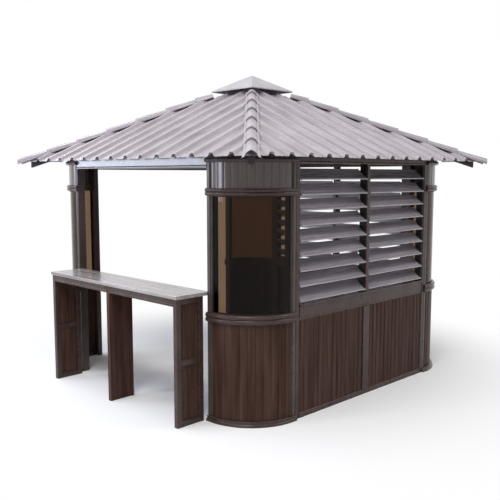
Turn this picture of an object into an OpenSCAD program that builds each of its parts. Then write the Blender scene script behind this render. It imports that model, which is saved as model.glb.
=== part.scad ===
// Hot tub gazebo: four round-cornered wall units, two louvred walls, a serving bay with a
// bar counter, an open entry bay and a square hipped roof of ribbed sheet.
// Front is -Y, the bar is on -X, the entry is on +Y. The origin is on the ground,
// under the middle of the whole outline.

/* [Plan] */
// Outside width of the walls, the same on every side
body_side = 2916; // [2430:1:3500]
// Outside radius of the rounded corners
corner_r = 450; // [375:1:540]
// Width of a corner post on the wall face
post_w = 50; // [40:1:60]
// Depth of posts and wall frames, across the wall
wall_d = 80; // [60:1:96]

/* [Heights] */
// Top of the walls, where the roof beams start
plate_z = 2110; // [1758:1:2532]
// Height of the beam over an open bay, below the top of the walls
header_h = 80; // [66:1:96]
// Height of the top rail of a louvred wall, below the top of the walls
top_rail_h = 44; // [36:1:53]
// Top of the window sill
sill_z = 941; // [900:1:1000]
// Height of the sill beam
sill_h = 131; // [100:1:140]
// Height of the base rail of a louvred wall
wall_base_h = 43; // [35:1:52]

/* [Corner units] */
// Height of the foot band
foot_h = 42; // [35:1:51]
// How far the foot band stands out of the wall face
foot_out = 22; // [18:1:27]
// Underside of the waist band
waist_z = 816; // [680:1:860]
// Height of the waist band
waist_h = 75; // [60:1:90]
// How far the waist band stands out
waist_out = 20; // [16:1:24]
// Height of the upper panel, between the frieze and crown bands
upper_panel_h = 197; // [164:1:237]
// Height of the frieze band
frieze_h = 60; // [50:1:72]
// How far the frieze band stands out
frieze_out = 18; // [15:1:22]
// Height of the crown band at the top of the wall
crown_h = 40; // [33:1:48]
// How far the crown band stands out
crown_out = 25; // [20:1:30]
// Thickness of the curved bands behind the wall face
band_d = 40; // [33:1:48]
// Thickness of the slatted panels
panel_t = 18; // [15:1:22]
// How far the slatted panels lie behind the wall face
panel_inset = 8; // [6:1:10]
// Thickness of the curved glass
glass_t = 8; // [6:1:10]
// How far the glass lies behind the wall face
glass_inset = 14; // [11:1:17]

/* [Louvred walls] */
// Width of the side stiles
stile_w = 48; // [40:1:58]
// Width of the centre stile below the sill
low_stile_w = 90; // [75:1:108]
// Width of the centre mullion between the louvres
mullion_w = 36; // [30:1:44]
// Louvre blades in each bank
blade_count = 9; // [7:1:9]
// Width of a blade across its section
blade_chord = 140; // [117:1:168]
// Thickness of a blade
blade_t = 8; // [6:1:10]
// Slope of the blades, with the outer edge low
blade_tilt = 40; // [33:1:48]
// Height of the lowest blade edge above the sill
blade_start = 13; // [10:1:18]
// Space between the top blade and the top rail
blade_head = 43; // [36:1:52]
// How far the blades' outer edges lie behind the wall face
blade_inset = 4; // [3:1:6]
// How far a blade's plate lies below its outer lip
blade_step = 3; // [2:1:4]
// How far the sill nose stands out
sill_out = 12; // [10:1:15]
// Height of the sill nose
sill_nose_h = 16; // [13:1:19]

/* [Bar] */
// How far the counter stands out of the wall face
bar_out = 313; // [260:1:376]
// Height of the counter's top surface
bar_z = 1050; // [900:1:1150]
// Thickness of the counter top
bar_t = 28; // [23:1:34]
// How far the counter top runs in between the corner posts
bar_in = 30; // [24:1:36]
// Height of the apron under the counter's outer edge
apron_h = 60; // [50:1:72]
// Thickness of the apron
apron_t = 20; // [16:1:24]
// Overhang of the counter top past the apron and the end panels
bar_lip = 10; // [8:1:12]
// Thickness of the end panels and the middle support
bar_side_t = 42; // [35:1:50]
// Gap between an end panel and the foot and waist bands
bar_gap = 12; // [8:1:16]
// Width of the frame round an end panel's fields
bar_frame_w = 44; // [36:1:53]
// Depth of an end panel's sunk fields
field_depth = 10; // [8:1:12]
// Depth of the middle support, across the counter
middle_d = 240; // [200:1:250]

/* [Roof] */
// Overhang of the eaves past the wall face
eave_out = 168; // [140:1:200]
// How far the underside of the roof sheet at the eaves lies below the top of the walls
eave_drop = 2; // [0:1:10]
// Rise of the roof for each unit of run
roof_rise = 0.472; // [0.392:0.002:0.568]
// Spacing of the ribs
rib_pitch = 218.7; // [185:0.1:225]
// Height of a rib
rib_h = 26; // [21:1:31]
// Width of a rib at its foot
rib_foot_w = 70; // [60:1:84]
// Width of a rib at its crest
rib_crest_w = 34; // [28:1:41]
// Thickness of the roof sheet
sheet_t = 3; // [2:0.5:4]
// Half the side of the opening at the top, under the cap
vent_half = 150; // [125:1:180]
// Half the side of the cap
cap_half = 293; // [245:1:352]
// Height of the cap's upright rim
cap_rim_h = 14; // [12:1:17]
// Rise of the cap above its rim
cap_rise = 160; // [134:1:192]
// Thickness of the cap
cap_t = 3; // [2:0.5:4]
// How far the hip cappings run in under the cap, in each direction of the plan
cap_bearing = 20; // [18:1:24]
// Half the width of the raised roll along a hip
roll_half = 48; // [40:1:56]
// Height of the roll
roll_h = 28; // [24:1:34]
// Half the overall width of a hip capping
hip_half = 66; // [60:1:78]
// Thickness of a hip capping
hip_t = 3; // [2:0.5:4]
// How far a hip capping runs past the eaves, in each direction of the plan
hip_out = 62; // [50:1:74]
// Width of a hip rafter
rafter_w = 50; // [42:1:60]
// Depth of a hip rafter, square to its length
rafter_d = 60; // [50:1:72]
// How far a hip rafter stops short of the eaves
rafter_back = 26; // [20:1:32]
// Half the width of the boss where the rafters meet, across its flats
boss_half = 70; // [60:1:84]
// Length of the boss
boss_h = 190; // [160:1:228]

/* [Hidden] */
$fn = 96;
// Clearance between pieces that seat on each other
seat = 0.3;
// Half the slit between two roof sheets along a hip
hip_slit = 1;
// How far beams and blockings are drawn above the top of the walls, before the roof cuts them
over_plate = 200;
half = body_side / 2;
corner_c = half - corner_r;
header_z = plate_z - header_h;
window_top_z = plate_z - top_rail_h;
frieze_z = plate_z - crown_h - upper_panel_h - frieze_h;
eave_z = plate_z - eave_drop;
bay = 2 * (corner_c - post_w);
roof_half = half + eave_out;
rib_count = floor(2 * roof_half / rib_pitch);
roof_angle = atan(roof_rise);
hip_angle = atan(roof_rise / sqrt(2));
rib_v = (rib_h + sheet_t) / cos(roof_angle);
hip_end = roof_half + hip_out;
hip_lift = (rib_v + seat) * cos(hip_angle) + hip_t;
hip_lean = (hip_lift - hip_half * sin(hip_angle)) * sin(hip_angle);
roof_reach = hip_end + (hip_half + hip_lean) / sqrt(2);
// The counter reaches further out than the roof on -X, so the gazebo stands off centre.
shift_x = (half + bar_out - roof_reach) / 2;
cap_z = sheet_z(cap_half - cap_t) + (hip_lift + roll_h) / cos(hip_angle) + seat;
louvre_w = (bay - 2 * stile_w - mullion_w) / 2;
panel_w = (bay - 2 * stile_w - low_stile_w) / 2;
blade_rise = blade_chord * sin(blade_tilt) + (blade_t / 2 - blade_step) * cos(blade_tilt);
blade_room = window_top_z - sill_z - blade_start - blade_head - blade_rise;
blade_pitch = blade_room / (blade_count - 1);
bar_under = bar_z - bar_t;

CORNERS = ["front_left", "front_right", "back_right", "back_left"];
WALLS = ["front_wall", "right_wall"];
SLOPES = ["roof_front", "roof_right", "roof_back", "roof_left"];

BRONZE = [0.27, 0.21, 0.2];
BRONZE_LIGHT = [0.38, 0.32, 0.31];
GLASS = [0.32, 0.24, 0.18, 0.6];
BLADE = [0.5, 0.47, 0.49];
SHEET = [0.68, 0.64, 0.67];
CAP = [0.8, 0.79, 0.81];
BOARD = [0.5, 0.46, 0.45];

// Underside of the roof sheets at a distance from the centre line
function sheet_z(d) = eave_z + roof_rise * (roof_half - d);
// Height of the hip line at a distance along the diagonal of the plan
function hip_z(x) = sheet_z(x / sqrt(2));

// Turns what is built on the front side to side 0 front, 1 right, 2 back or 3 left
module on_side(turn) {
    translate([shift_x, 0, 0]) rotate([0, 0, 90 * turn]) children();
}

// Turns what is built along +X to the diagonal of corner 0 front left, and so on
module on_hip(turn) {
    translate([shift_x, 0, 0]) rotate([0, 0, 225 + 90 * turn]) children();
}

// Everything under the roof sheets
module under_roof() {
    outline = [
        [-roof_half, 0], [roof_half, 0], [roof_half, eave_z - seat],
        [0, sheet_z(0) - seat], [-roof_half, eave_z - seat]
    ];
    intersection() {
        rotate([90, 0, 0]) linear_extrude(2 * roof_half, center = true) polygon(outline);
        rotate([90, 0, 90]) linear_extrude(2 * roof_half, center = true) polygon(outline);
    }
}

// A curved wall layer between the two posts of a corner, from radius r0 to r1
module corner_arc(r0, r1, z0, z1) {
    translate([-corner_c, -corner_c, 0]) rotate([0, 0, 180])
        rotate_extrude(angle = 90) translate([r0, z0]) square([r1 - r0, z1 - z0]);
}

// A block in front of both posts, or over them, from distance d0 to d1 out of the corner's centre
module over_posts(d0, d1, z0, z1) {
    translate([-corner_c, -corner_c - d1, z0]) cube([post_w, d1 - d0, z1 - z0]);
    translate([-corner_c - d1, -corner_c, z0]) cube([d1 - d0, post_w, z1 - z0]);
}

module corner_band(z, h, out) {
    corner_arc(corner_r - band_d, corner_r, z, z + h);
    corner_arc(corner_r, corner_r + out, z, z + h);
    over_posts(corner_r, corner_r + out, z, z + h);
}

// The blocking that fills the corner from the crown up to the roof, notched for the rafter
module corner_blocking() {
    difference() {
        intersection() {
            union() {
                corner_arc(corner_r - band_d, corner_r, plate_z + seat, plate_z + over_plate);
                over_posts(corner_r - band_d, corner_r, plate_z + seat, plate_z + over_plate);
            }
            under_roof();
        }
        rotate([0, 0, 225]) hip_rafter(seat, 50);
    }
}

module corner_posts(turn) {
    color(BRONZE_LIGHT) on_side(turn) over_posts(corner_r - wall_d, corner_r, 0, plate_z);
}

module corner_bands(turn) {
    color(BRONZE) on_side(turn) {
        corner_band(0, foot_h, foot_out);
        corner_band(waist_z, waist_h, waist_out);
        corner_band(frieze_z, frieze_h, frieze_out);
        corner_band(plate_z - crown_h, crown_h, crown_out);
        corner_blocking();
    }
}

module corner_lower_panel(turn) {
    face = corner_r - panel_inset;
    color(BRONZE) on_side(turn) corner_arc(face - panel_t, face, foot_h, waist_z);
}

module corner_glass(turn) {
    face = corner_r - glass_inset;
    color(GLASS) on_side(turn) corner_arc(face - glass_t, face, waist_z + waist_h, frieze_z);
}

module corner_upper_panel(turn) {
    face = corner_r - panel_inset;
    color(BRONZE) on_side(turn)
        corner_arc(face - panel_t, face, frieze_z + frieze_h, plate_z - crown_h);
}

// A box in the front wall: x from the centre, depth behind the wall face
module wall_box(x, w, z0, z1, inset = 0, d = wall_d) {
    translate([x, -half + inset, z0]) cube([w, d, z1 - z0]);
}

module wall_posts(turn) {
    color(BRONZE_LIGHT) on_side(turn) {
        wall_box(-bay / 2, stile_w, 0, window_top_z);
        wall_box(bay / 2 - stile_w, stile_w, 0, window_top_z);
        wall_box(-low_stile_w / 2, low_stile_w, wall_base_h, sill_z - sill_h);
        wall_box(-mullion_w / 2, mullion_w, sill_z, window_top_z);
    }
}

// A beam across a bay, up to the roof sheets
module bay_beam(z) {
    intersection() {
        wall_box(-bay / 2, bay, z, plate_z + over_plate);
        under_roof();
    }
}

module wall_rails(turn) {
    clear_w = bay - 2 * stile_w;
    color(BRONZE) on_side(turn) {
        wall_box(-clear_w / 2, clear_w, 0, wall_base_h);
        wall_box(-clear_w / 2, clear_w, sill_z - sill_h, sill_z);
        wall_box(-clear_w / 2, clear_w, sill_z - sill_nose_h, sill_z, -sill_out, sill_out);
        bay_beam(window_top_z);
    }
}

module wall_panels(turn) {
    color(BRONZE) on_side(turn) for (x = [-low_stile_w / 2 - panel_w, low_stile_w / 2])
        wall_box(x, panel_w, wall_base_h, sill_z - sill_h, panel_inset, panel_t);
}

// One blade, its outer edge low and its section drawn across the wall
module louvre_blade() {
    low = -blade_step;
    high = blade_t - blade_step;
    section = [
        [0, 0], [blade_t, low], [blade_chord - blade_t, low], [blade_chord, (low + high) / 2],
        [blade_chord - blade_t, high], [blade_t, high], [0, blade_t / 2 + blade_step]
    ];
    rotate([90, 0, 90]) linear_extrude(louvre_w - 2 * seat) rotate([0, 0, blade_tilt])
        polygon(section);
}

// A bank of blades that starts at x, measured from the wall's middle
module wall_louvres(turn, x) {
    color(BLADE) on_side(turn) for (i = [0 : blade_count - 1])
        translate([x + seat, -half + blade_inset, sill_z + blade_start + i * blade_pitch])
            louvre_blade();
}

module header(turn) {
    color(BRONZE_LIGHT) on_side(turn) bay_beam(header_z);
}

// The counter is drawn on the front side and turned to the left one
module bar_box(x, w, y0, y1, z0, z1) {
    translate([x, -half - y1, z0]) cube([w, y1 - y0, z1 - z0]);
}

module bar_top() {
    color(BOARD) on_side(3)
        bar_box(-bay / 2 + seat, bay - 2 * seat, -bar_in, bar_out, bar_under, bar_z);
}

module bar_apron() {
    apron_w = bay - 2 * bar_lip - 2 * bar_side_t;
    color(BRONZE) on_side(3)
        for (x = [-apron_w / 2, bar_side_t / 2])
            bar_box(x, (apron_w - bar_side_t) / 2, bar_out - bar_lip - apron_t,
                bar_out - bar_lip, bar_under - apron_h, bar_under);
}

// A framed panel with two sunk fields on each face, one above the other
module bar_end(x) {
    depth0 = foot_out + bar_gap;
    depth1 = bar_out - bar_lip;
    field_w = depth1 - depth0 - 2 * bar_frame_w;
    field_h = (bar_under - 3 * bar_frame_w) / 2;
    color(BRONZE) on_side(3) difference() {
        bar_box(x, bar_side_t, depth0, depth1, 0, bar_under);
        for (z = [bar_frame_w, 2 * bar_frame_w + field_h])
            for (side = [x - 1, x + bar_side_t - field_depth])
                bar_box(side, field_depth + 1, depth0 + bar_frame_w,
                    depth0 + bar_frame_w + field_w, z, z + field_h);
    }
}

module bar_middle_support() {
    color(BRONZE) on_side(3) bar_box(-bar_side_t / 2, bar_side_t, bar_out - bar_lip - middle_d,
        bar_out - bar_lip, 0, bar_under);
}

// One rib's crest and feet, offset across the sheet by lift
function rib_points(x, lift) = [
    [x - rib_foot_w / 2, lift], [x - rib_crest_w / 2, lift + rib_h],
    [x + rib_crest_w / 2, lift + rib_h], [x + rib_foot_w / 2, lift]
];

// The line of the sheet's section, from one side to the other
function sheet_line(lift) = [
    [-roof_half, lift],
    for (i = [0 : rib_count - 1])
        for (p = rib_points((i - (rib_count - 1) / 2) * rib_pitch, lift)) p,
    [roof_half, lift]
];

function reversed(list) = [for (i = [len(list) - 1 : -1 : 0]) list[i]];

// One slope of ribbed sheet, cut along the hips and below the cap
module roof_slope(turn) {
    // The section is drawn this far past the eaves, and the plan cuts it there
    start = 40;
    plan = [
        [-roof_half + hip_slit, -roof_half], [roof_half - hip_slit, -roof_half],
        [vent_half - hip_slit, -vent_half], [-vent_half + hip_slit, -vent_half]
    ];
    color(SHEET) on_side(turn) intersection() {
        translate([0, -roof_half, eave_z]) rotate([roof_angle, 0, 0])
            rotate([90, 0, 180]) translate([0, 0, -start])
            linear_extrude(roof_half / cos(roof_angle) + start)
            polygon(concat(sheet_line(0), reversed(sheet_line(sheet_t))));
        translate([0, 0, eave_z - 100]) linear_extrude(roof_half) polygon(plan);
    }
}

// Outline of a hip capping over its roll and wings, thinned by t
function hip_line(t) = concat(
    [[-hip_half, -hip_half * sin(hip_angle) - t]],
    [for (a = [180 : -15 : 0])
        [(roll_half - t) * cos(a), (roll_h - t) * sin(a)
            - (roll_half - t) * sin(hip_angle) * abs(cos(a)) - (abs(cos(a)) > 0.99 ? t : 0)]],
    [[hip_half, -hip_half * sin(hip_angle) - t]]
);

module hip_caps() {
    low = hip_end * sqrt(2);
    length = (hip_end - cap_half + cap_bearing) * sqrt(2) / cos(hip_angle);
    color(SHEET) for (turn = [0 : 3]) on_hip(turn)
        translate([low, 0, hip_z(low)]) rotate([0, hip_angle, 0]) rotate([90, 0, -90])
        translate([0, hip_lift, 0]) linear_extrude(length)
        polygon(concat(hip_line(0), reversed(hip_line(hip_t))));
}

// A rafter under one hip, grown by c on its sides and underside, and by up on its top
module hip_rafter(c = 0, up = 0) {
    drop = rafter_w / 2 * tan(hip_angle) + seat;
    deep = drop + rafter_d / cos(hip_angle) + c;
    x0 = boss_half;
    x1 = (roof_half - rafter_back) * sqrt(2);
    rotate([90, 0, 0]) linear_extrude(rafter_w + 2 * c, center = true)
        polygon([
            [x0, hip_z(x0) - deep], [x1, hip_z(x1) - deep],
            [x1, hip_z(x1) - drop + up], [x0, hip_z(x0) - drop + up]
        ]);
}

module hip_rafters() {
    color(BRONZE) for (turn = [0 : 3]) on_hip(turn) hip_rafter();
}

module apex_boss() {
    top = hip_z(boss_half);
    color(BRONZE) translate([shift_x, 0, top - boss_h]) rotate([0, 0, 22.5])
        cylinder(h = boss_h, r = boss_half / cos(22.5), $fn = 8);
}

// A square pyramid on an upright rim, shrunk all round by t
module cap_body(t) {
    h = cap_half - t;
    outline = [
        [-h, cap_z - (t > 0 ? 1 : 0)], [h, cap_z - (t > 0 ? 1 : 0)], [h, cap_z + cap_rim_h - t],
        [0, cap_z + cap_rim_h + cap_rise - t], [-h, cap_z + cap_rim_h - t]
    ];
    intersection() {
        rotate([90, 0, 0]) linear_extrude(2 * h, center = true) polygon(outline);
        rotate([90, 0, 90]) linear_extrude(2 * h, center = true) polygon(outline);
    }
}

module roof_cap() {
    color(CAP) translate([shift_x, 0, 0]) difference() {
        cap_body(0);
        cap_body(cap_t);
    }
}

for (i = [0 : 3]) {
    corner_posts(i);
    corner_bands(i);
    corner_lower_panel(i);
    corner_glass(i);
    corner_upper_panel(i);
    roof_slope(i);
}
for (i = [0 : 1]) {
    wall_posts(i);
    wall_rails(i);
    wall_panels(i);
    wall_louvres(i, -mullion_w / 2 - louvre_w);
    wall_louvres(i, mullion_w / 2);
}
header(3);  // bar_header
header(2);  // entry_header
bar_top();
bar_apron();
bar_end(bay / 2 - bar_lip - bar_side_t);  // bar_front_end
bar_middle_support();
bar_end(-bay / 2 + bar_lip);  // bar_back_end
hip_caps();
hip_rafters();
apex_boss();
roof_cap();
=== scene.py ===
from math import atan, cos, pi, radians, sin, sqrt

import bmesh
import bpy
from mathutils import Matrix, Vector


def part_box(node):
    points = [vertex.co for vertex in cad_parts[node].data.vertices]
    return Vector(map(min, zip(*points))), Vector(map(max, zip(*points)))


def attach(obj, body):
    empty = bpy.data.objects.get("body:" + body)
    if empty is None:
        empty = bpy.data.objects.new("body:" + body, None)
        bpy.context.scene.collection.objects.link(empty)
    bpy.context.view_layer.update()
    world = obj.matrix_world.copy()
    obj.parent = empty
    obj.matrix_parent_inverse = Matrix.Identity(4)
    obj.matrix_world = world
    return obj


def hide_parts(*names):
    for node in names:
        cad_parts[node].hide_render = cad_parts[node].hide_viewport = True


# The finish of the hot tub gazebo. Metres, +Z up, front is -Y, the bar is on -X and the
# entry on +Y. Pieces are drawn on the front side, or on the front left corner, and turned
# by quarter turns to where they stand.

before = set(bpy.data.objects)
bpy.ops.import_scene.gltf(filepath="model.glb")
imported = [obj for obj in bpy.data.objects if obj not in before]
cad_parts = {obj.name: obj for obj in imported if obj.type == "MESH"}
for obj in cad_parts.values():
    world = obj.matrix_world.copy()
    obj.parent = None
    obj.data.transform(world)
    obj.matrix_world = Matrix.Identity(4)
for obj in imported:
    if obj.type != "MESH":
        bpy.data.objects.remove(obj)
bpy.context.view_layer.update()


def lo(node):
    """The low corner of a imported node's box."""
    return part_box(node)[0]


def hi(node):
    """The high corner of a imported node's box."""
    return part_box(node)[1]


CORNERS = ("front_left", "front_right", "back_right", "back_left")
WALLS = ("front_wall", "right_wall")
SLOPES = ("roof_front", "roof_right", "roof_back", "roof_left")

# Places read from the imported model
MID = (lo("roof_cap")[0] + hi("roof_cap")[0]) / 2
HALF = -lo("front_wall_posts")[1]
CENTRE = MID - hi("front_left_lower_panel")[0]
RADIUS = HALF - CENTRE
BAY = MID - hi("front_left_posts")[0]
WALL_D = hi("front_wall_posts")[1] + HALF
PLATE = hi("front_left_posts")[2]
FOOT_TOP = lo("front_left_lower_panel")[2]
WAIST = (hi("front_left_lower_panel")[2], lo("front_left_glass")[2])
FRIEZE = (hi("front_left_glass")[2], lo("front_left_upper_panel")[2])
CROWN = hi("front_left_upper_panel")[2]
PANEL_R = MID - CENTRE - lo("front_left_lower_panel")[0]
GLASS_R = MID - CENTRE - lo("front_left_glass")[0]
PANEL_Z = (lo("front_wall_panels")[2], hi("front_wall_panels")[2])
CLEAR = hi("front_wall_panels")[0] - MID
WINDOW_TOP = hi("front_wall_posts")[2]
BLADES_LO = lo("front_wall_louvres_left")
BLADES_HI = hi("front_wall_louvres_left")
HEADER_Z = lo("bar_header")[2]
ROOF_HALF = -lo("roof_front")[1]
EAVE = lo("roof_front")[2]
CAP_HALF = hi("roof_cap")[0] - MID
CAP_Z = (lo("roof_cap")[2], hi("roof_cap")[2])

# Sizes that a box does not give
BAND_D = 0.040
BACKING = 0.003
PANEL_T = 0.018
GROOVE = 0.0045
GLASS_T = 0.008
LOW_STILE = 0.090
MULLION = 0.036
BLADE_START = 0.013
BLADE_CHORD = 0.140
BLADE_TILT = radians(40)
BLADE_COUNT = 9
SILL_OUT = 0.012
ROOF_RISE = 0.472
RIB_PITCH = 0.2187
RIB_H = 0.026
RIB_FOOT = 0.070
RIB_CREST = 0.034
SHEET_T = 0.003
VENT = 0.150
HIP_OUT = 0.062
CAP_BEARING = 0.020
CAP_RIM = 0.014
TILE_SHOWN = 0.305
TILE_LAP = 0.030
TILE_T = 0.0022
FRAME_W = 0.044
SEAT = 0.0003
SHARP = radians(42)

SILL_TOP = BLADES_LO[2] - BLADE_START
ROOF_ANGLE = atan(ROOF_RISE)
HIP_ANGLE = atan(ROOF_RISE / sqrt(2))


# ---------------------------------------------------------------- shapes

class Shape:
    """Closed shells of one piece, gathered in the coordinates of the front side."""

    def __init__(self):
        self.verts = []
        self.faces = []

    def loft(self, rings):
        """Join equal rings of points into one closed shell with both ends capped."""
        base = len(self.verts)
        n = len(rings[0])
        for ring in rings:
            self.verts.extend(ring)
        for k in range(len(rings) - 1):
            for i in range(n):
                j = (i + 1) % n
                a = base + k * n
                self.faces.append((a + i, a + j, a + n + j, a + n + i))
        self.faces.append(tuple(base + i for i in range(n)))
        last = base + (len(rings) - 1) * n
        self.faces.append(tuple(last + i for i in range(n)))

    def block(self, x, y, z):
        """A box from three (low, high) pairs."""
        self.loft([[(u, y[0], z[0]), (u, y[1], z[0]), (u, y[1], z[1]), (u, y[0], z[1])]
                   for u in x])

    def along_x(self, profile, x0, x1):
        """A profile of (y, z) run along x."""
        self.loft([[(x, y, z) for y, z in profile] for x in (x0, x1)])

    def along_z(self, profile, z0, z1):
        """A profile of (x, y) run upwards."""
        self.loft([[(x, y, z) for x, y in profile] for z in (z0, z1)])


def eased(points, radius, steps=3, closed=True):
    """Round each corner of an outline, by no more than a third of its sides."""
    out = []
    n = len(points)
    for i, (px, py) in enumerate(points):
        if not closed and i in (0, n - 1):
            out.append((px, py))
            continue
        ends = []
        for qx, qy in (points[i - 1], points[(i + 1) % n]):
            length = sqrt((qx - px) ** 2 + (qy - py) ** 2)
            t = min(radius / length, 1 / 3)
            ends.append((px + (qx - px) * t, py + (qy - py) * t))
        (ax, ay), (bx, by) = ends
        for k in range(steps + 1):
            t = k / steps
            u = 1 - t
            out.append((u * u * ax + 2 * u * t * px + t * t * bx,
                        u * u * ay + 2 * u * t * py + t * t * by))
    return out


def placed(point, turn):
    """A point of the front side, taken to side or corner number turn."""
    x, y, z = point
    for _ in range(turn % 4):
        x, y = -y, x
    return (x + MID, y, z)


def piece(name, shape, nodes, material, turn=0, bevel=0.0):
    """Make the object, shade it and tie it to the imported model."""
    mesh = bpy.data.meshes.new(name)
    mesh.from_pydata([placed(p, turn) for p in shape.verts], [], shape.faces)
    bm = bmesh.new()
    bm.from_mesh(mesh)
    bmesh.ops.recalc_face_normals(bm, faces=bm.faces)
    bm.to_mesh(mesh)
    bm.free()
    mesh.polygons.foreach_set("use_smooth", [True] * len(mesh.polygons))
    mesh.set_sharp_from_angle(angle=SHARP)
    mesh.materials.append(material)
    obj = bpy.data.objects.new(name, mesh)
    bpy.context.scene.collection.objects.link(obj)
    if bevel:
        mod = obj.modifiers.new("bevel", "BEVEL")
        mod.width = bevel
        mod.segments = 2
        mod.limit_method = "ANGLE"
        mod.angle_limit = SHARP
    normals = obj.modifiers.new("normals", "WEIGHTED_NORMAL")
    normals.keep_sharp = True
    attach(obj, "root")
    if nodes:
        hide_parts(*nodes)
    return obj


# ---------------------------------------------------------------- materials

def stretched_noise(tree, scale, stretch, detail=4.0):
    """Noise in the piece's own coordinates, drawn out along an axis by a small stretch."""
    coords = tree.nodes.new("ShaderNodeTexCoord")
    mapping = tree.nodes.new("ShaderNodeMapping")
    mapping.inputs["Scale"].default_value = stretch
    noise = tree.nodes.new("ShaderNodeTexNoise")
    noise.inputs["Scale"].default_value = scale
    noise.inputs["Detail"].default_value = detail
    tree.links.new(coords.outputs["Object"], mapping.inputs["Vector"])
    tree.links.new(mapping.outputs["Vector"], noise.inputs["Vector"])
    return noise.outputs[0]


def spread(tree, value, low, high):
    """Map the middle of a noise to the span from low to high."""
    node = tree.nodes.new("ShaderNodeMapRange")
    node.inputs["From Min"].default_value = 0.3
    node.inputs["From Max"].default_value = 0.7
    node.inputs["To Min"].default_value = low
    node.inputs["To Max"].default_value = high
    tree.links.new(value, node.inputs["Value"])
    return node.outputs["Result"]


def tones(tree, value, colours):
    """A ramp through the colours, over the middle of a noise."""
    ramp = tree.nodes.new("ShaderNodeValToRGB")
    points = ramp.color_ramp.elements
    while len(points) < len(colours):
        points.new(0.5)
    for i, colour in enumerate(colours):
        points[i].position = 0.32 + 0.36 * i / (len(colours) - 1)
        points[i].color = (*colour, 1)
    tree.links.new(value, ramp.inputs["Fac"])
    return ramp.outputs["Color"]


def finish(name, colours, rough, scale=6.0, stretch=(1, 1, 1), grain=0.0002, grain_scale=380,
           coat=0.1, specular=0.3, metallic=0.0):
    """A coated surface: tone, gloss and a fine relief, each from its own noise."""
    mat = bpy.data.materials.new(name)
    mat.use_nodes = True
    tree = mat.node_tree
    shader = tree.nodes["Principled BSDF"]
    shader.inputs["Specular IOR Level"].default_value = specular
    shader.inputs["Coat Weight"].default_value = coat
    shader.inputs["Coat Roughness"].default_value = 0.12
    shader.inputs["Metallic"].default_value = metallic
    tone = stretched_noise(tree, scale, stretch)
    tree.links.new(tones(tree, tone, colours), shader.inputs["Base Color"])
    gloss = stretched_noise(tree, scale * 2.3, stretch, 5.0)
    tree.links.new(spread(tree, gloss, *rough), shader.inputs["Roughness"])
    if not grain:
        return mat
    relief = stretched_noise(tree, grain_scale, stretch, 3.0)
    bump = tree.nodes.new("ShaderNodeBump")
    bump.inputs["Distance"].default_value = grain
    bump.inputs["Strength"].default_value = 0.35
    tree.links.new(relief, bump.inputs["Height"])
    tree.links.new(bump.outputs["Normal"], shader.inputs["Normal"])
    return mat


def glass_finish():
    """Bronze glass, clear and glossy."""
    mat = finish("bronze_glass", ((0.150, 0.092, 0.056), (0.170, 0.104, 0.063)), (0.0, 0.01),
                 scale=2.0, grain=0, coat=0.0, specular=0.5)
    shader = mat.node_tree.nodes["Principled BSDF"]
    shader.inputs["Transmission Weight"].default_value = 1.0
    shader.inputs["IOR"].default_value = 1.2
    return mat


# Which way a finish's streaks run
UP = (1, 1, 0.06)
RUN_X = (0.06, 1, 1)
RUN_Y = (1, 0.06, 1)

POST = finish("post_coating", ((0.060, 0.042, 0.040), (0.080, 0.058, 0.054)), (0.26, 0.38),
              grain=0.0001)
BAND = finish("band_coating", ((0.044, 0.026, 0.023), (0.068, 0.043, 0.038)), (0.22, 0.34),
              coat=0.18, specular=0.2)
SLAT = finish("slat_coating", ((0.040, 0.019, 0.014), (0.062, 0.032, 0.024), (0.088, 0.048, 0.037)),
              (0.30, 0.46), scale=26, stretch=UP, grain=0.0004, grain_scale=240, coat=0.02,
              specular=0.06)
GLOSS = finish("upper_slat_coating", ((0.032, 0.015, 0.012), (0.056, 0.029, 0.023)), (0.20, 0.30),
               scale=26, stretch=UP, grain=0, coat=0.7, specular=0.4)
# Painted reflection: the headers' bronze is given a lighter, greyer tone than the other frames,
# standing in for the bright surroundings they reflect, under a glossy coat.
BEAM_SHEEN = finish("beam_painted_sheen", ((0.085, 0.075, 0.080), (0.120, 0.106, 0.112)), (0.16, 0.26),
              coat=0.8, specular=0.5)
# Painted shade: the hip rafters and apex boss are near black, much darker than the frames' bronze,
# for the shade under the roof.
RAFTER_SHADE = finish("rafter_painted_shade", ((0.012, 0.009, 0.008), (0.022, 0.016, 0.014)), (0.4, 0.6))
BLADE = dict(colours=((0.29, 0.265, 0.29), (0.42, 0.39, 0.425)), rough=(0.20, 0.32), scale=24,
             coat=0.4, metallic=0.15)
BLADE_X = finish("louvre_coating_front", stretch=RUN_X, **BLADE)
BLADE_Y = finish("louvre_coating_side", stretch=RUN_Y, **BLADE)
SHEET = dict(colours=((0.27, 0.235, 0.265), (0.37, 0.33, 0.36)), rough=(0.24, 0.36), scale=9,
             coat=0.4, specular=0.4)
SHEET_X = finish("roof_coating_side", stretch=RUN_X, **SHEET)
SHEET_Y = finish("roof_coating_front", stretch=RUN_Y, **SHEET)
HIP = finish("hip_coating", ((0.28, 0.25, 0.275), (0.37, 0.33, 0.36)), (0.30, 0.44), coat=0.2)
CAP = finish("cap_coating", ((0.38, 0.37, 0.39), (0.46, 0.445, 0.465)), (0.42, 0.56),
             coat=0.04, specular=0.12)
BOARD = finish("counter_grain", ((0.20, 0.175, 0.17), (0.30, 0.27, 0.265), (0.40, 0.37, 0.37)),
               (0.18, 0.32), scale=22, stretch=RUN_Y, grain=0.0001, grain_scale=260, coat=0.5)
RUBBER = finish("gasket_rubber", ((0.006, 0.005, 0.005), (0.012, 0.011, 0.011)), (0.5, 0.7),
                coat=0.0, specular=0.2)
GLASS = glass_finish()


# ---------------------------------------------------------------- corner units

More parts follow.
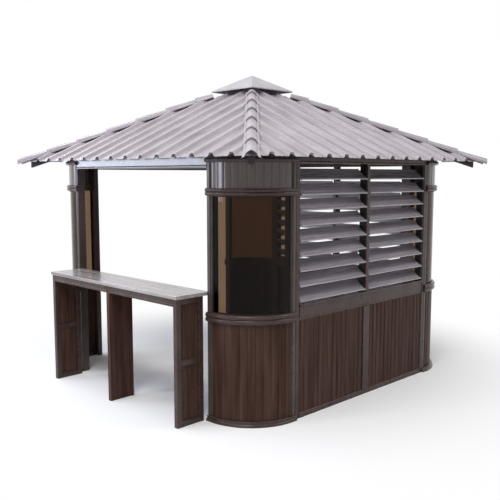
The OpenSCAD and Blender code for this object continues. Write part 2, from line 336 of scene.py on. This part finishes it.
def corner_path(arc_steps, straights=True):
    """Frames (x, y, normal x, normal y) over one post, round the corner and over the other."""
    path = []
    if straights:
        path.append((-BAY, -CENTRE, 0, -1))
    for k in range(arc_steps + 1):
        a = 1.5 * pi - 0.5 * pi * k / arc_steps
        path.append((-CENTRE, -CENTRE, cos(a), sin(a)))
    if straights:
        path.append((-CENTRE, -BAY, -1, 0))
    return path


def sweep(shape, profile, path):
    """Run a profile of (radius, z) along a path of frames."""
    shape.loft([[(x + nx * r, y + ny * r, z) for r, z in profile] for x, y, nx, ny in path])


def beaded(z0, z1, out, beads):
    """Half round beads one above the other between two thin lips."""
    lip = 0.003
    radius = (z1 - z0 - 2 * lip) / (2 * beads)
    points = [(RADIUS - BACKING, z0), (RADIUS + out * 0.45, z0), (RADIUS + out * 0.45, z0 + lip)]
    for b in range(beads):
        middle = z0 + lip + radius * (2 * b + 1)
        for k in range(9):
            a = -pi / 2 + pi * k / 8
            points.append((RADIUS + out * (0.45 + 0.55 * cos(a)), middle + radius * sin(a) * 0.97))
    points += [(RADIUS + out * 0.45, z1 - lip), (RADIUS + out * 0.45, z1), (RADIUS - BACKING, z1)]
    return points


def flared(z0, z1, out):
    """A foot: an upright edge, a hollow curve and a small bead on top."""
    h = z1 - z0
    points = [(RADIUS - BACKING, z0), (RADIUS + out, z0), (RADIUS + out, z0 + h * 0.28)]
    for k in range(1, 8):
        a = pi / 2 * k / 7
        points.append((RADIUS + out * (1 - 0.62 * sin(a)), z0 + h * (0.76 - 0.48 * cos(a))))
    for k in range(7):
        a = -pi / 2 + pi * k / 6
        points.append((RADIUS + out * (0.38 + 0.2 * cos(a)), z0 + h * (0.88 + 0.11 * sin(a))))
    points.append((RADIUS - BACKING, z1))
    return points


def roof_under(x, y):
    """Height of the underside of the roof sheets over a place in plan."""
    return EAVE + ROOF_RISE * (ROOF_HALF - max(abs(x), abs(y))) - SEAT


def corner_bands(i):
    shape = Shape()
    path = corner_path(24)
    arc = corner_path(24, straights=False)
    sweep(shape, flared(0, FOOT_TOP, 0.022), path)
    sweep(shape, beaded(*WAIST, 0.020, 2), path)
    sweep(shape, beaded(*FRIEZE, 0.018, 2), path)
    sweep(shape, beaded(CROWN, PLATE, 0.025, 1), path)
    for z0, z1 in ((0, FOOT_TOP), WAIST, FRIEZE, (CROWN, PLATE)):
        back = [(RADIUS - BAND_D, z0), (RADIUS, z0), (RADIUS, z1), (RADIUS - BAND_D, z1)]
        sweep(shape, eased(back, 0.003), arc)
    rings = []
    for x, y, nx, ny in path:
        ring = []
        for r, top in ((RADIUS - BAND_D, 0), (RADIUS, 0), (RADIUS, 1), (RADIUS - BAND_D, 1)):
            px, py = x + nx * r, y + ny * r
            ring.append((px, py, roof_under(px, py) if top else PLATE + SEAT))
        rings.append(ring)
    shape.loft(rings)
    name = CORNERS[i] + "_bands"
    piece("moulded_" + name, shape, [name], BAND, turn=i)


def post_profile():
    """A light face on the bay's side and a sunk rebate beside the curved panel."""
    rebate = 0.014
    depth = 0.010
    face = -HALF
    return eased([
        (-CENTRE, face + depth), (-CENTRE + rebate, face + depth), (-CENTRE + rebate, face),
        (-BAY - 0.009, face), (-BAY - 0.007, face + 0.003), (-BAY, face + 0.003),
        (-BAY, face + WALL_D), (-CENTRE, face + WALL_D)
    ], 0.002)


def corner_posts(i):
    shape = Shape()
    profile = post_profile()
    shape.along_z(profile, 0, PLATE)
    shape.along_z([(y, x) for x, y in profile], 0, PLATE)
    name = CORNERS[i] + "_posts"
    piece("grooved_" + name, shape, [name], POST, turn=i)


def slat_steps(count, groove, share=0.055):
    """Places along a slatted face, as (fraction, depth), with a groove between slats."""
    one = ((0, groove), (share * 0.6, groove), (share * 1.1, groove * 0.35), (share * 1.8, 0.0006),
           (0.3, 0.0001), (0.7, 0.0001), (1 - share * 1.8, 0.0006), (1 - share * 1.1, groove * 0.35),
           (1 - share * 0.6, groove))
    steps = [((k + f) / count, d) for k in range(count) for f, d in one]
    return steps + [(1, groove)]


def curved_slats(i, part, z0, z1):
    shape = Shape()
    rings = []
    for f, depth in slat_steps(11, GROOVE):
        a = 1.5 * pi - 0.5 * pi * f
        ring = []
        for r, z in ((PANEL_R - depth, z0), (PANEL_R - depth, z1),
                     (PANEL_R - PANEL_T + depth, z1), (PANEL_R - PANEL_T + depth, z0)):
            ring.append((-CENTRE + r * cos(a), -CENTRE + r * sin(a), z))
        rings.append(ring)
    shape.loft(rings)
    name = CORNERS[i] + part
    coating = GLOSS if part == "_upper_panel" else SLAT
    piece("slatted_" + name, shape, [name], coating, turn=i)


def arc_strip(shape, a0, a1, r0, r1, z0, z1, steps):
    """A curved strip between two angles about the corner's centre."""
    rings = []
    for k in range(steps + 1):
        a = a0 + (a1 - a0) * k / steps
        rings.append([(-CENTRE + r * cos(a), -CENTRE + r * sin(a), z)
                      for r, z in ((r0, z0), (r1, z0), (r1, z1), (r0, z1))])
    shape.loft(rings)


def corner_glass(i):
    name = CORNERS[i] + "_glass"
    edge = 0.015 / GLASS_R
    z0, z1 = WAIST[1], FRIEZE[0]
    pane = Shape()
    arc_strip(pane, 1.5 * pi - edge / 2, pi + edge / 2, GLASS_R - GLASS_T, GLASS_R,
              z0 + 0.001, z1 - 0.001, 36)
    piece("curved_" + name, pane, [name], GLASS, turn=i, bevel=0.0015)
    seal = Shape()
    r0, r1 = GLASS_R - GLASS_T - 0.004, GLASS_R + 0.004
    arc_strip(seal, 1.5 * pi, 1.5 * pi - edge, r0, r1, z0, z1, 3)
    arc_strip(seal, pi + edge, pi, r0, r1, z0, z1, 3)
    arc_strip(seal, 1.5 * pi - edge, pi + edge, r0, r1, z0, z0 + 0.007, 32)
    arc_strip(seal, 1.5 * pi - edge, pi + edge, r0, r1, z1 - 0.007, z1, 32)
    piece("seal_" + name, seal, [], RUBBER, turn=i, bevel=0.0012)


# ---------------------------------------------------------------- walls

def stile(x0, x1, step):
    """A stile's plan: full depth, with its face rebated on the side step points to."""
    face = -HALF
    cut = 0.012
    points = [(x0, face), (x1, face), (x1, face + WALL_D), (x0, face + WALL_D)]
    if step > 0:
        points[1:2] = [(x1 - cut, face), (x1 - cut, face + 0.007), (x1, face + 0.007)]
    if step < 0:
        points[0:1] = [(x0, face + 0.007), (x0 + cut, face + 0.007), (x0 + cut, face)]
    return eased(points, 0.002)


def wall_posts(i):
    shape = Shape()
    shape.along_z(stile(-BAY, -CLEAR, 1), 0, WINDOW_TOP)
    shape.along_z(stile(CLEAR, BAY, -1), 0, WINDOW_TOP)
    shape.along_z(stile(-LOW_STILE / 2, LOW_STILE / 2, 0), PANEL_Z[0], PANEL_Z[1])
    shape.along_z(stile(-MULLION / 2, MULLION / 2, 0), SILL_TOP, WINDOW_TOP)
    name = WALLS[i] + "_posts"
    piece("rebated_" + name, shape, [name], BAND, turn=i)


def beam_profile(z0):
    """A beam from z0 up to the sloping roof, with a bead along its lower outer edge."""
    face, back = -HALF, -HALF + WALL_D
    lower = eased([(back, z0), (face + 0.002, z0), (face - 0.003, z0 + 0.005),
                   (face - 0.003, z0 + 0.013), (face + 0.002, z0 + 0.018)], 0.003, closed=False)
    return lower + [(face, z0 + 0.024), (face, roof_under(0, face)), (back, roof_under(0, back))]


def wall_rails(i):
    shape = Shape()
    face, back = -HALF, -HALF + WALL_D
    base = [(face, 0), (face, PANEL_Z[0] - 0.006), (face + 0.006, PANEL_Z[0]),
            (back, PANEL_Z[0]), (back, 0)]
    shape.along_x(eased(base, 0.002), -CLEAR, CLEAR)
    z0 = PANEL_Z[1]
    sub = 0.022
    nose = 0.016
    sill = [
        (back, z0), (face + 0.008, z0), (face + 0.008, z0 + sub), (face, z0 + sub + 0.004),
        (face, SILL_TOP - nose - 0.006), (face - SILL_OUT + 0.003, SILL_TOP - nose),
        (face - SILL_OUT, SILL_TOP - nose * 0.7), (face - SILL_OUT, SILL_TOP - 0.003),
        (face - SILL_OUT + 0.004, SILL_TOP), (back, SILL_TOP)
    ]
    shape.along_x(eased(sill, 0.002), -CLEAR, CLEAR)
    shape.along_x(beam_profile(WINDOW_TOP), -BAY, BAY)
    name = WALLS[i] + "_rails"
    piece("moulded_" + name, shape, [name], BAND, turn=i)


def flat_slats(shape, x0, x1, y_face, y_back, z0, z1, count):
    """A slatted panel from x0 to x1, grooved on both faces."""
    rings = []
    for f, depth in slat_steps(count, GROOVE):
        x = x0 + (x1 - x0) * f
        rings.append([(x, y_face + depth, z0), (x, y_face + depth, z1),
                      (x, y_back - depth, z1), (x, y_back - depth, z0)])
    shape.loft(rings)


def wall_panels(i):
    shape = Shape()
    face = lo("front_wall_panels")[1]
    for x0, x1 in ((-CLEAR, -LOW_STILE / 2), (LOW_STILE / 2, CLEAR)):
        flat_slats(shape, x0, x1, face, face + PANEL_T, *PANEL_Z, 14)
    name = WALLS[i] + "_panels"
    piece("slatted_" + name, shape, [name], SLAT, turn=i)


def blade_section(grow=0.0):
    """A blade's section along its chord: a round nose bead, a bowed plate and a back bead."""
    points = []
    nose = 0.0065 + grow
    for k in range(9):
        a = radians(60) + radians(240) * k / 8
        points.append((0.0065 + nose * cos(a), 0.002 + nose * sin(a)))
    for t in (0.15, 0.4, 0.65, 0.9):
        points.append((BLADE_CHORD * t, -0.0035 - 0.003 * sin(pi * t) - grow))
    for k in range(5):
        a = -pi / 2 + pi * k / 4
        points.append((BLADE_CHORD - 0.004 + (0.004 + grow) * cos(a), (0.004 + grow) * sin(a)))
    for t in (0.9, 0.65, 0.4, 0.15):
        points.append((BLADE_CHORD * t, 0.0035 - 0.003 * sin(pi * t) + grow))
    return points


def blade_outline(grow, y, z):
    """The tilted section at a blade's outer lower edge (y, z)."""
    c, s = cos(BLADE_TILT), sin(BLADE_TILT)
    return [(y + a * c - b * s, z + a * s + b * c) for a, b in blade_section(grow)]


def wall_louvres(i, side, x0, x1):
    shape = Shape()
    channel = 0.009
    cap = 0.010
    rise = BLADE_CHORD * sin(BLADE_TILT)
    pitch = (BLADES_HI[2] - BLADES_LO[2] - rise) / (BLADE_COUNT - 1)
    a, b = x0 + channel, x1 - channel
    for k in range(BLADE_COUNT):
        y, z = BLADES_LO[1] + 0.001, BLADES_LO[2] + k * pitch + 0.002
        shape.along_x(blade_outline(0, y, z), a + cap, b - cap)
        for end in ((a, a + cap), (b - cap, b)):
            shape.along_x(blade_outline(0.0024, y, z), *end)
    name = WALLS[i] + "_louvres_" + side
    piece("beaded_" + name, shape, [name], (BLADE_X, BLADE_Y)[i], turn=i)
    carrier = Shape()
    for u0, u1 in ((x0, a), (b, x1)):
        carrier.block((u0, u1), (-HALF + 0.014, -HALF + WALL_D - 0.004), (SILL_TOP, WINDOW_TOP))
    piece("carrier_" + name, carrier, [], RUBBER, turn=i, bevel=0.001)


def header(node, turn):
    shape = Shape()
    shape.along_x(beam_profile(HEADER_Z), -BAY, BAY)
    # The lighter grey tone of this finish is painted reflection on a bronze beam.
    piece("beaded_" + node, shape, [node], BEAM_SHEEN, turn=turn)


# ---------------------------------------------------------------- bar, drawn on the front side

def side_box(node):
    """A box of the bar as x, y and z spans of the front side."""
    a, b = lo(node), hi(node)
    return (-b[1], -a[1]), (a[0] - MID, b[0] - MID), (a[2], b[2])


def bar_top():
    shape = Shape()
    x, y, z = side_box("bar_top")
    boards = 4
    width = (y[1] - y[0]) / boards
    for k in range(boards):
        y0 = y[0] + k * width + (0.001 if k else 0)
        y1 = y[0] + (k + 1) * width - (0.001 if k < boards - 1 else 0)
        shape.along_x(eased([(y0, z[0]), (y1, z[0]), (y1, z[1]), (y0, z[1])], 0.0035), *x)
    piece("planked_bar_top", shape, ["bar_top"], BOARD, turn=3, bevel=0.001)


def bar_apron():
    shape = Shape()
    x, y, z = side_box("bar_apron")
    gap = side_box("bar_middle_support")[0]
    h = z[1] - z[0]
    line = [(y[0], z[0]), (y[0], z[0] + h * 0.3), (y[0] + 0.003, z[0] + h * 0.34),
            (y[0] + 0.003, z[0] + h * 0.38), (y[0], z[0] + h * 0.42), (y[0], z[1]),
            (y[1], z[1]), (y[1], z[0])]
    for x0, x1 in ((x[0], gap[0]), (gap[1], x[1])):
        shape.along_x(eased(line, 0.0015), x0, x1)
    piece("grooved_bar_apron", shape, ["bar_apron"], BAND, turn=3)


def sunk_field(shape, x, y, z):
    """A slatted field filling the spans y and z, sunk in both faces of the span x."""
    sunk = 0.010
    rings = []
    for f, depth in slat_steps(8, 0.003, 0.09):
        v = y[0] + (y[1] - y[0]) * f
        rings.append([(x[0] + sunk + depth, v, z[0]), (x[0] + sunk + depth, v, z[1]),
                      (x[1] - sunk - depth, v, z[1]), (x[1] - sunk - depth, v, z[0])])
    shape.loft(rings)


def bar_end(node):
    """A frame of two stiles and three rails round an upper and a lower slatted field."""
    frame_shape = Shape()
    fields = Shape()
    x, y, z = side_box(node)
    w = FRAME_W
    field_h = (z[1] - z[0] - 3 * w) / 2
    inner = (y[0] + w, y[1] - w)
    for span in ((y[0], inner[0]), (inner[1], y[1])):
        frame_shape.block(x, span, z)
    rails = [(z[0], z[0] + w), (z[0] + w + field_h, z[0] + 2 * w + field_h), (z[1] - w, z[1])]
    for rail in rails:
        frame_shape.block((x[0] + 0.001, x[1] - 0.001), inner, rail)
    for below, above in zip(rails, rails[1:]):
        sunk_field(fields, x, inner, (below[1], above[0]))
        # a small ledge at the foot of the field, on both faces
        for span in ((x[0] + 0.003, x[0] + 0.010), (x[1] - 0.010, x[1] - 0.003)):
            frame_shape.block(span, inner, (below[1], below[1] + 0.006))
    piece("framed_" + node, frame_shape, [node], BAND, turn=3, bevel=0.0018)
    piece("fields_" + node, fields, [], SLAT, turn=3)


def bar_middle_support():
    shape = Shape()
    x, y, z = side_box("bar_middle_support")
    edge = 0.030
    shape.block((x[0] + 0.004, x[1] - 0.004), (y[0] + edge, y[1] - edge), z)
    for y0, y1 in ((y[0], y[0] + edge), (y[1] - edge, y[1])):
        shape.block(x, (y0, y1), z)
    piece("edged_bar_middle_support", shape, ["bar_middle_support"], SLAT, turn=3,
          bevel=0.0018)


# ---------------------------------------------------------------- roof

def rib_section():
    """The sheet's outline from one side to the other, as (x, height)."""
    count = int(2 * ROOF_HALF / RIB_PITCH)
    points = [(-ROOF_HALF + 0.001, 0)]
    for k in range(count):
        x = (k - (count - 1) / 2) * RIB_PITCH
        points += [(x - RIB_FOOT / 2, 0), (x - RIB_CREST / 2, RIB_H),
                   (x + RIB_CREST / 2, RIB_H), (x + RIB_FOOT / 2, 0)]
        if k < count - 1:
            # two pencil ribs stiffen the pan up to the next rib
            for m in (x + RIB_PITCH * 0.40, x + RIB_PITCH * 0.60):
                points += [(m - 0.008, 0), (m, 0.0035), (m + 0.008, 0)]
    points.append((ROOF_HALF - 0.001, 0))
    return eased(points, 0.006, closed=False)


def with_breaks(points, breaks):
    """Add a point to the outline at each x in breaks, so that a cut can turn there."""
    out = [points[0]]
    for (ax, ah), (bx, bh) in zip(points, points[1:]):
        for x in sorted(breaks):
            if ax < x < bx:
                out.append((x, ah + (bh - ah) * (x - ax) / (bx - ax)))
        out.append((bx, bh))
    return out


def roof_slope(i):
    shape = Shape()
    rings = []
    for x, height in with_breaks(rib_section(), (-VENT, VENT)):
        y_top = -max(abs(x), VENT)
        ring = []
        for y, h in ((-ROOF_HALF, height), (y_top, height),
                     (y_top, height + SHEET_T), (-ROOF_HALF, height + SHEET_T)):
            ring.append((x, y, EAVE + ROOF_RISE * (ROOF_HALF + y) + h / cos(ROOF_ANGLE)))
        rings.append(ring)
    shape.loft(rings)
    material = SHEET_Y if i % 2 == 0 else SHEET_X
    piece("ribbed_" + SLOPES[i], shape, [SLOPES[i]], material, turn=i)


def tile_section(width, roll, height, thick):
    """A hip tile across the hip: folded wings on the roof's planes and a round roll."""
    def plane(u):
        return -abs(u) * sin(HIP_ANGLE)
    top = [(-width, plane(width) - 0.007), (-width, plane(width))]
    for k in range(15):
        a = pi - pi * k / 14
        u = roll * cos(a)
        top.append((u, plane(u) + height * sin(a)))
    top += [(width, plane(width)), (width, plane(width) - 0.007)]
    under = [(u * 0.985, v - thick) for u, v in reversed(top)]
    return top + under


def tile_size(f):
    """Half width, half roll and roll height of a hip tile, f of the way up it."""
    flare = max(0, 1 - f / 0.12) ** 2
    return (0.064 - 0.008 * f + 0.003 * flare, 0.045 - 0.006 * f + 0.003 * flare,
            0.031 - 0.014 * f + 0.002 * flare)


def hip_tile(shape, start, end, turn):
    """A tile from start to end along a hip. All but the lowest close on the tile below."""
    c, s = cos(HIP_ANGLE), sin(HIP_ANGLE)
    low = (ROOF_HALF + HIP_OUT) * sqrt(2)
    base_z = EAVE + ROOF_RISE * (ROOF_HALF - low / sqrt(2))
    rib_v = (RIB_H + SHEET_T) / cos(ROOF_ANGLE)
    lift = (rib_v + SEAT) * c + 0.003
    lip_t = 0.002
    steps = (0, 0.02, 0.05, 0.12, 0.3, 0.6, 1)
    sizes = [tile_size(f) + (start + (end - start) * f,) for f in steps]
    if start > 0:
        sizes.insert(0, (0.0575, 0.0395, 0.0180, start))
    rings = []
    for width, roll, height, along in sizes:
        f = (along - start) / (end - start)
        section = tile_section(width, roll, height, TILE_T)
        ring = []
        for k, (u, v) in enumerate(section):
            v += lift - 0.002 * f
            inside = along == start and k >= len(section) // 2
            reach = along + lip_t * inside
            d = low - reach * c + v * s
            x, y = -(d + u) / sqrt(2), -(d - u) / sqrt(2)
            x, y, z = placed((x, y, base_z + (reach * s + v * c)), turn)
            ring.append((x - MID, y, z))
        rings.append(ring)
    shape.loft(rings)


def hip_caps():
    shape = Shape()
    length = (ROOF_HALF + HIP_OUT - CAP_HALF + CAP_BEARING) * sqrt(2) / cos(HIP_ANGLE)
    exposure = TILE_SHOWN / cos(HIP_ANGLE)
    for turn in range(4):
        start = 0.0
        while start < length - 0.05:
            hip_tile(shape, start, min(start + exposure + TILE_LAP, length), turn)
            start += exposure
    piece("stepped_hip_caps", shape, ["hip_caps"], HIP)


def square_ring(h, z, r):
    """A square of half side h with rounded corners of radius r."""
    points = eased([(-h, -h), (h, -h), (h, h), (-h, h)], r)
    return [(x, y, z) for x, y in points]


def roof_cap():
    shape = Shape()
    z0, z1 = CAP_Z
    rim = CAP_RIM
    t = 0.002
    tip = 0.010
    outer = [(CAP_HALF - 0.003, 0), (CAP_HALF, 0.003), (CAP_HALF, rim - 0.003),
             (CAP_HALF - 0.004, rim + 0.001)]
    slope = (z1 - z0 - rim) / CAP_HALF
    for h in (CAP_HALF * 0.7, CAP_HALF * 0.4, tip * 2, tip):
        outer.append((h, rim + slope * (CAP_HALF - h) - 0.002))
    rings = [square_ring(h, z0 + z, 0.006) for h, z in reversed(outer)]
    inner = [(CAP_HALF - t, 0.001), (CAP_HALF - t, rim - t - 0.003)]
    inner += [(h, rim - t + slope * (CAP_HALF - t - h) - 0.002) for h in (CAP_HALF * 0.5, tip)]
    rings += [square_ring(h, z0 + z, 0.006) for h, z in inner]
    shape.loft(rings)
    piece("folded_roof_cap", shape, ["roof_cap"], CAP)


# ---------------------------------------------------------------- stage

def area_light(name, spot, width, height, power, colour=(1, 1, 1)):
    """A soft lamp that looks at the middle of the gazebo."""
    data = bpy.data.lights.new(name, "AREA")
    data.shape = "RECTANGLE"
    data.size = width
    data.size_y = height
    data.energy = power
    data.color = colour
    obj = bpy.data.objects.new(name, data)
    bpy.context.scene.collection.objects.link(obj)
    obj.location = spot
    aim = Vector((MID, 0, 1.3)) - Vector(spot)
    obj.rotation_euler = aim.to_track_quat("-Z", "Y").to_euler()


def background_rays(tree):
    """1 for rays that look at the background: from the camera, a reflection or through glass."""
    path = tree.nodes.new("ShaderNodeLightPath")
    value = path.outputs["Is Camera Ray"]
    for other in ("Is Glossy Ray", "Is Transmission Ray"):
        node = tree.nodes.new("ShaderNodeMath")
        node.operation = "MAXIMUM"
        tree.links.new(value, node.inputs[0])
        tree.links.new(path.outputs[other], node.inputs[1])
        value = node.outputs[0]
    return value


def set_world():
    world = bpy.data.worlds.new("studio")
    bpy.context.scene.world = world
    world.use_nodes = True
    tree = world.node_tree
    tree.nodes.clear()
    ambient = tree.nodes.new("ShaderNodeBackground")
    ambient.inputs["Color"].default_value = (0.97, 0.98, 1, 1)
    ambient.inputs["Strength"].default_value = 0.27
    white = tree.nodes.new("ShaderNodeBackground")
    mix = tree.nodes.new("ShaderNodeMixShader")
    out = tree.nodes.new("ShaderNodeOutputWorld")
    white.inputs["Color"].default_value = (1, 1, 1, 1)
    white.inputs["Strength"].default_value = 1.0
    tree.links.new(background_rays(tree), mix.inputs["Fac"])
    tree.links.new(ambient.outputs[0], mix.inputs[1])
    tree.links.new(white.outputs[0], mix.inputs[2])
    tree.links.new(mix.outputs[0], out.inputs["Surface"])


def add_floor():
    """A pale floor that turns to plain white away from the gazebo."""
    mesh = bpy.data.meshes.new("floor")
    size = 40
    corners = [(-size, -size, 0), (size, -size, 0), (size, size, 0), (-size, size, 0)]
    mesh.from_pydata(corners, [], [(0, 1, 2, 3)])
    mat = bpy.data.materials.new("floor_paint")
    mat.use_nodes = True
    tree = mat.node_tree
    shader = tree.nodes["Principled BSDF"]
    shader.inputs["Base Color"].default_value = (0.92, 0.92, 0.92, 1)
    shader.inputs["Roughness"].default_value = 0.9
    shader.inputs["Specular IOR Level"].default_value = 0.0
    coords = tree.nodes.new("ShaderNodeTexCoord")
    reach = tree.nodes.new("ShaderNodeVectorMath")
    reach.operation = "LENGTH"
    tree.links.new(coords.outputs["Object"], reach.inputs[0])
    fade = tree.nodes.new("ShaderNodeMapRange")
    fade.interpolation_type = "SMOOTHSTEP"
    fade.inputs["From Min"].default_value = 1.4
    fade.inputs["From Max"].default_value = 3.6
    tree.links.new(reach.outputs["Value"], fade.inputs["Value"])
    seen = tree.nodes.new("ShaderNodeMath")
    seen.operation = "MULTIPLY"
    tree.links.new(fade.outputs["Result"], seen.inputs[0])
    tree.links.new(background_rays(tree), seen.inputs[1])
    glow = tree.nodes.new("ShaderNodeEmission")
    mix = tree.nodes.new("ShaderNodeMixShader")
    tree.links.new(seen.outputs[0], mix.inputs["Fac"])
    tree.links.new(shader.outputs[0], mix.inputs[1])
    tree.links.new(glow.outputs[0], mix.inputs[2])
    tree.links.new(mix.outputs[0], tree.nodes["Material Output"].inputs["Surface"])
    mesh.materials.append(mat)
    floor = bpy.data.objects.new("floor", mesh)
    bpy.context.scene.collection.objects.link(floor)


def add_camera():
    data = bpy.data.cameras.new("camera")
    data.lens = 48.94
    data.sensor_width = 36
    camera = bpy.data.objects.new("camera", data)
    camera.location = (MID - 4.967, -4.984, 1.972)
    camera.rotation_euler = (radians(83.715), 0, radians(-44.74))
    bpy.context.scene.collection.objects.link(camera)
    bpy.context.scene.camera = camera


# ---------------------------------------------------------------- the gazebo

for i in range(4):
    corner_posts(i)
    corner_bands(i)
    curved_slats(i, "_lower_panel", FOOT_TOP, WAIST[0])
    curved_slats(i, "_upper_panel", FRIEZE[1], CROWN)
    corner_glass(i)
    roof_slope(i)
for i in range(2):
    wall_posts(i)
    wall_rails(i)
    wall_panels(i)
    wall_louvres(i, "left", -CLEAR, -MULLION / 2)
    wall_louvres(i, "right", MULLION / 2, CLEAR)
header("bar_header", 3)
header("entry_header", 2)
bar_top()
bar_apron()
bar_end("bar_front_end")
bar_end("bar_back_end")
bar_middle_support()
hip_caps()
roof_cap()

# The plain hip rafters and apex boss take the near-black painted shade.
for node in ("hip_rafters", "apex_boss"):
    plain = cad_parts[node]
    plain.data.materials.clear()
    plain.data.materials.append(RAFTER_SHADE)

add_camera()
add_floor()
set_world()
area_light("key", (MID - 5.2, -3.3, 7.2), 3.0, 3.0, 310)
area_light("top", (MID - 3.6, -0.8, 8.4), 4.0, 4.0, 165)
area_light("front", (MID + 3.5, -5.0, 7.0), 3.0, 3.0, 180)
# high over the back, clear of the direction in which the roof's pans mirror the camera's view
area_light("back", (MID - 1.0, 6.4, 8.6), 3.4, 3.0, 240)
area_light("window_left", (MID - 6.6, 1.4, 2.8), 1.2, 2.6, 80, (0.76, 0.82, 1))
area_light("window_back", (MID - 5.0, 4.9, 3.0), 3.2, 2.8, 160, (0.76, 0.82, 1))
bpy.context.scene.view_settings.view_transform = "Standard"
